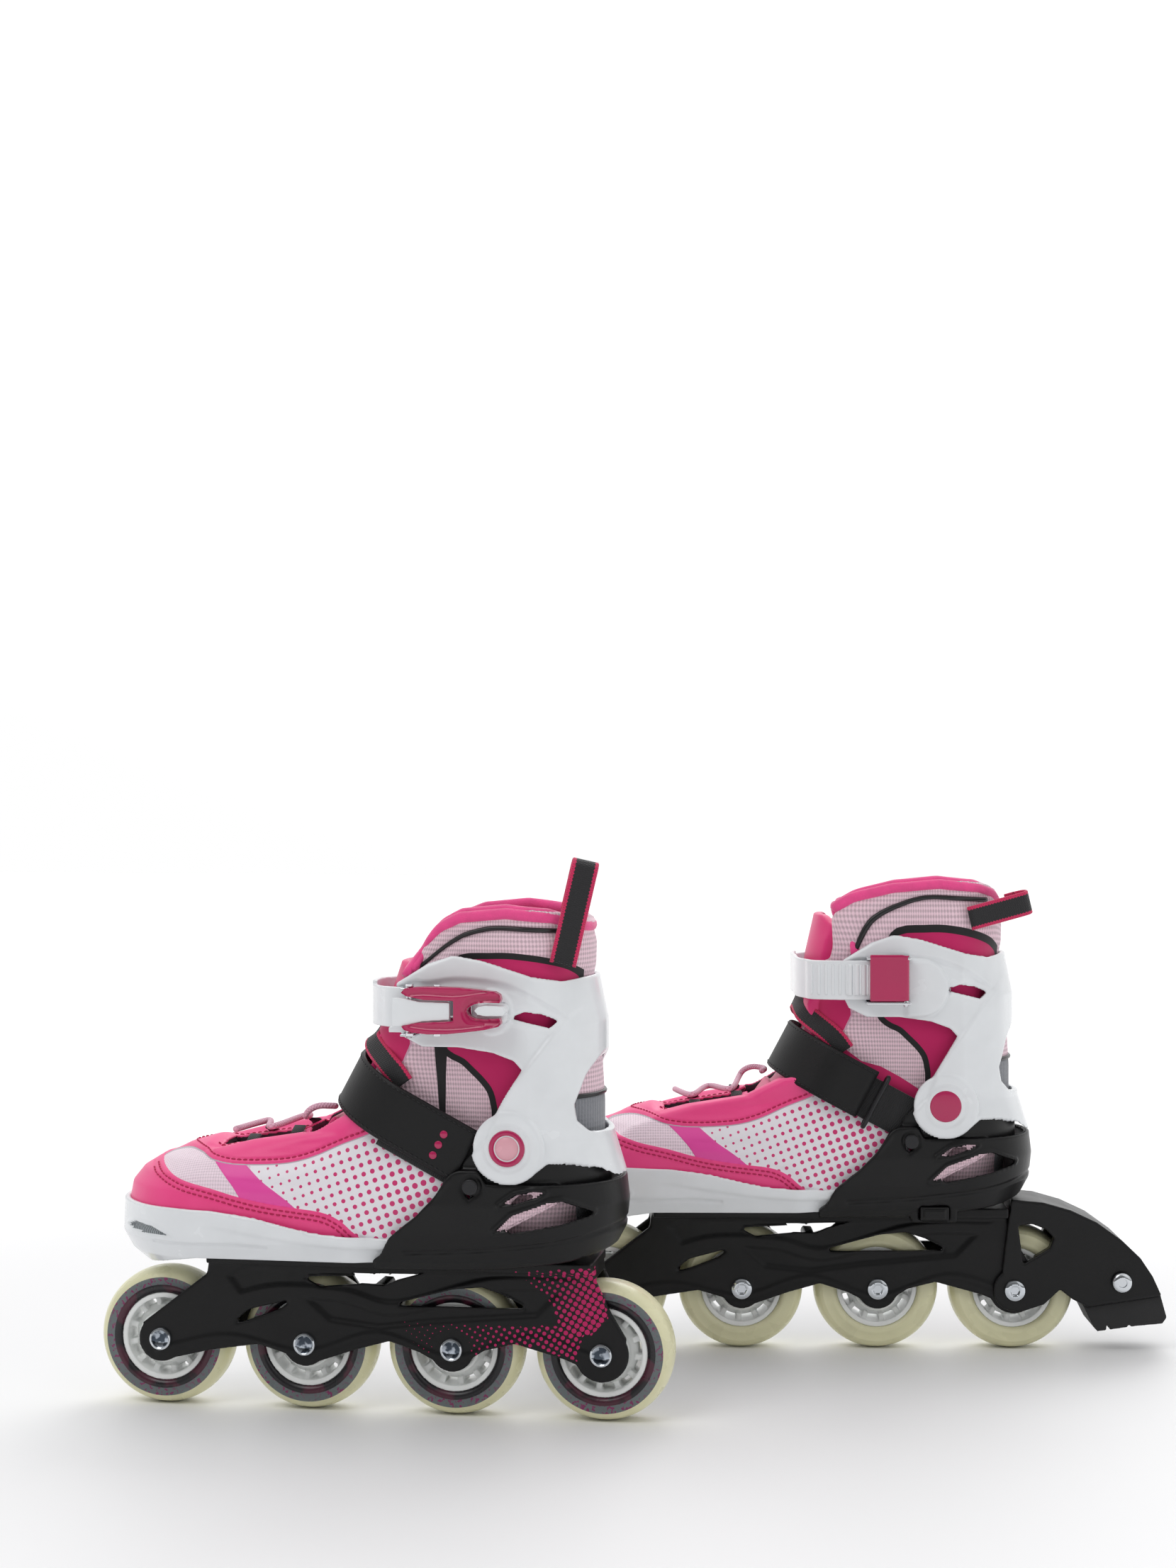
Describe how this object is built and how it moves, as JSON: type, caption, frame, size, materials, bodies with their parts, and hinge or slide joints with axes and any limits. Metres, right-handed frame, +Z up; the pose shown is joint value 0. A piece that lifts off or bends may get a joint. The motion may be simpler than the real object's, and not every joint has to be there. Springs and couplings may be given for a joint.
{
  "type": "pair of adjustable inline skates",
  "caption": "Pair of four-wheel adjustable inline skates: soft boots with hinged cuffs, sliding toes, ratchet buckles and one heel brake.",
  "frame": {"origin": "middle of the footprint of both skates, on the floor", "axes": "+X from the toes towards the heels along the left skate, +Y towards the right skate, +Z up"},
  "size_m": [0.5642, 0.3016, 0.2902],
  "materials": {
    "black_plastic": "satin moulded",
    "white_plastic": "smooth moulded",
    "magenta_plastic": "smooth moulded",
    "polished_steel": "polished",
    "chrome_metal": "plated",
    "pink_mesh": "woven mesh",
    "pink_fabric": "stitched synthetic",
    "grey_foam": "brushed textile on foam",
    "black_webbing": "coated webbing",
    "pink_synthetic": "printed synthetic leather with stitched panels",
    "pink_cord": "braided",
    "loop_webbing": "woven webbing with coloured edges",
    "white_strap": "toothed moulding",
    "brake_rubber": "matt moulded",
    "wheel_urethane": "cast urethane with a printed side",
    "white_hub": "moulded"
  },
  "bodies": {
    "left_chassis": {"left_frame": "black_plastic", "left_axles": "polished_steel", "left_heel_shell": "black_plastic", "left_liner": "pink_mesh", "left_tongue": "pink_fabric", "left_insole": "grey_foam", "left_instep_strap": "black_webbing", "left_strap_anchor": "black_webbing", "left_cuff_pivots": "magenta_plastic", "left_bolts": "polished_steel"},
    "left_toe": {"left_toe_base": "white_plastic", "left_upper": "pink_synthetic", "left_lace": "pink_cord"},
    "left_cuff": {"left_cuff": "white_plastic", "left_buckle_base": "chrome_metal", "left_clasp_base": "chrome_metal", "left_pull_loop": "loop_webbing"},
    "left_lever": {"left_lever": "magenta_plastic"},
    "left_ladder": {"left_ladder_strap": "white_strap"},
    "left_clasp_tab": {"left_clasp_tab": "magenta_plastic"},
    "left_size_button": {"left_size_button": "black_plastic"},
    "left_wheel_1": {"left_tyre_1": "wheel_urethane", "left_hub_1": "white_hub"},
    "left_wheel_2": {"left_tyre_2": "wheel_urethane", "left_hub_2": "white_hub"},
    "left_wheel_3": {"left_tyre_3": "wheel_urethane", "left_hub_3": "white_hub"},
    "left_wheel_4": {"left_tyre_4": "wheel_urethane", "left_hub_4": "white_hub"},
    "right_chassis": {"right_frame": "black_plastic", "right_axles": "polished_steel", "right_heel_shell": "black_plastic", "right_liner": "pink_mesh", "right_tongue": "pink_fabric", "right_insole": "grey_foam", "right_instep_strap": "black_webbing", "right_strap_anchor": "black_webbing", "right_cuff_pivots": "magenta_plastic", "right_bolts": "polished_steel", "right_brake_arm": "black_plastic", "right_brake_pad": "brake_rubber"},
    "right_toe": {"right_toe_base": "white_plastic", "right_upper": "pink_synthetic", "right_lace": "pink_cord"},
    "right_cuff": {"right_cuff": "white_plastic", "right_buckle_base": "chrome_metal", "right_clasp_base": "chrome_metal", "right_pull_loop": "loop_webbing"},
    "right_lever": {"right_lever": "magenta_plastic"},
    "right_ladder": {"right_ladder_strap": "white_strap"},
    "right_clasp_tab": {"right_clasp_tab": "magenta_plastic"},
    "right_size_button": {"right_size_button": "black_plastic"},
    "right_wheel_1": {"right_tyre_1": "wheel_urethane", "right_hub_1": "white_hub"},
    "right_wheel_2": {"right_tyre_2": "wheel_urethane", "right_hub_2": "white_hub"},
    "right_wheel_3": {"right_tyre_3": "wheel_urethane", "right_hub_3": "white_hub"},
    "right_wheel_4": {"right_tyre_4": "wheel_urethane", "right_hub_4": "white_hub"}
  },
  "joints": [
    {"name": "left_wheel_1_spin", "type": "hinge", "parent": "left_chassis", "child": "left_wheel_1", "pos_m": [-0.2461, -0.095, 0.036], "axis": [0, 1, 0], "continuous": true},
    {"name": "left_wheel_2_spin", "type": "hinge", "parent": "left_chassis", "child": "left_wheel_2", "pos_m": [-0.1681, -0.095, 0.036], "axis": [0, 1, 0], "continuous": true},
    {"name": "left_wheel_3_spin", "type": "hinge", "parent": "left_chassis", "child": "left_wheel_3", "pos_m": [-0.0901, -0.095, 0.036], "axis": [0, 1, 0], "continuous": true},
    {"name": "left_wheel_4_spin", "type": "hinge", "parent": "left_chassis", "child": "left_wheel_4", "pos_m": [-0.0121, -0.095, 0.036], "axis": [0, 1, 0], "continuous": true},
    {"name": "left_toe_slide", "type": "slide", "parent": "left_chassis", "child": "left_toe", "axis": [-1, 0, 0], "range_m": [0, 0.02]},
    {"name": "left_cuff_flex", "type": "hinge", "parent": "left_chassis", "child": "left_cuff", "pos_m": [-0.0551, -0.095, 0.145], "axis": [0, -1, 0], "range_deg": [0, 15], "deforming": ["left_liner", "left_tongue"]},
    {"name": "left_lever_swing", "type": "hinge", "parent": "left_cuff", "child": "left_lever", "pos_m": [-0.1041, -0.146, 0.213], "axis": [0, 0, -1], "range_deg": [0, 150]},
    {"name": "left_ladder_slide", "type": "slide", "parent": "left_cuff", "child": "left_ladder", "axis": [-1, 0, 0], "range_m": [0, 0.0241]},
    {"name": "left_tab_press", "type": "hinge", "parent": "left_cuff", "child": "left_clasp_tab", "pos_m": [-0.0781, -0.0426, 0.216], "axis": [0, 0, -1], "range_deg": [0, 20], "stiffness_Nm_per_rad": 0.02},
    {"name": "left_button_press", "type": "slide", "parent": "left_chassis", "child": "left_size_button", "axis": [0, -1, 0], "range_m": [0, 0.0035], "stiffness_N_per_m": 300},
    {"name": "right_skate_lift", "type": "slide", "parent": "left_chassis", "child": "right_chassis", "axis": [0, 0, 1], "range_m": [0, 0.3]},
    {"name": "right_wheel_1_spin", "type": "hinge", "parent": "right_chassis", "child": "right_wheel_1", "pos_m": [-0.03824, 0.06872, 0.036], "axis": [-0.152, 0.9884, 0], "continuous": true},
    {"name": "right_wheel_2_spin", "type": "hinge", "parent": "right_chassis", "child": "right_wheel_2", "pos_m": [0.03885, 0.08057, 0.036], "axis": [-0.152, 0.9884, 0], "continuous": true},
    {"name": "right_wheel_3_spin", "type": "hinge", "parent": "right_chassis", "child": "right_wheel_3", "pos_m": [0.11595, 0.09243, 0.036], "axis": [-0.152, 0.9884, 0], "continuous": true},
    {"name": "right_wheel_4_spin", "type": "hinge", "parent": "right_chassis", "child": "right_wheel_4", "pos_m": [0.19304, 0.10428, 0.036], "axis": [-0.152, 0.9884, 0], "continuous": true},
    {"name": "right_toe_slide", "type": "slide", "parent": "right_chassis", "child": "right_toe", "axis": [-0.9884, -0.152, 0], "range_m": [0, 0.02]},
    {"name": "right_cuff_flex", "type": "hinge", "parent": "right_chassis", "child": "right_cuff", "pos_m": [0.15054, 0.09774, 0.145], "axis": [0.152, -0.9884, 0], "range_deg": [0, 15], "deforming": ["right_liner", "right_tongue"]},
    {"name": "right_lever_swing", "type": "hinge", "parent": "right_cuff", "child": "right_lever", "pos_m": [0.09436, 0.14071, 0.213], "axis": [0, 0, 1], "range_deg": [0, 150]},
    {"name": "right_ladder_slide", "type": "slide", "parent": "right_cuff", "child": "right_ladder", "axis": [-0.9884, -0.152, 0], "range_m": [0, 0.0241]},
    {"name": "right_tab_press", "type": "hinge", "parent": "right_cuff", "child": "right_clasp_tab", "pos_m": [0.13577, 0.04246, 0.216], "axis": [0, 0, 1], "range_deg": [0, 20], "stiffness_Nm_per_rad": 0.02},
    {"name": "right_button_press", "type": "slide", "parent": "right_chassis", "child": "right_size_button", "axis": [-0.152, 0.9884, 0], "range_m": [0, 0.0035], "stiffness_N_per_m": 300}
  ],
  "couplings": [
    {"joint": "left_ladder_slide", "follows": "left_lever_swing", "m_per_rad": 0.009167},
    {"joint": "right_ladder_slide", "follows": "right_lever_swing", "m_per_rad": 0.009167}
  ]
}
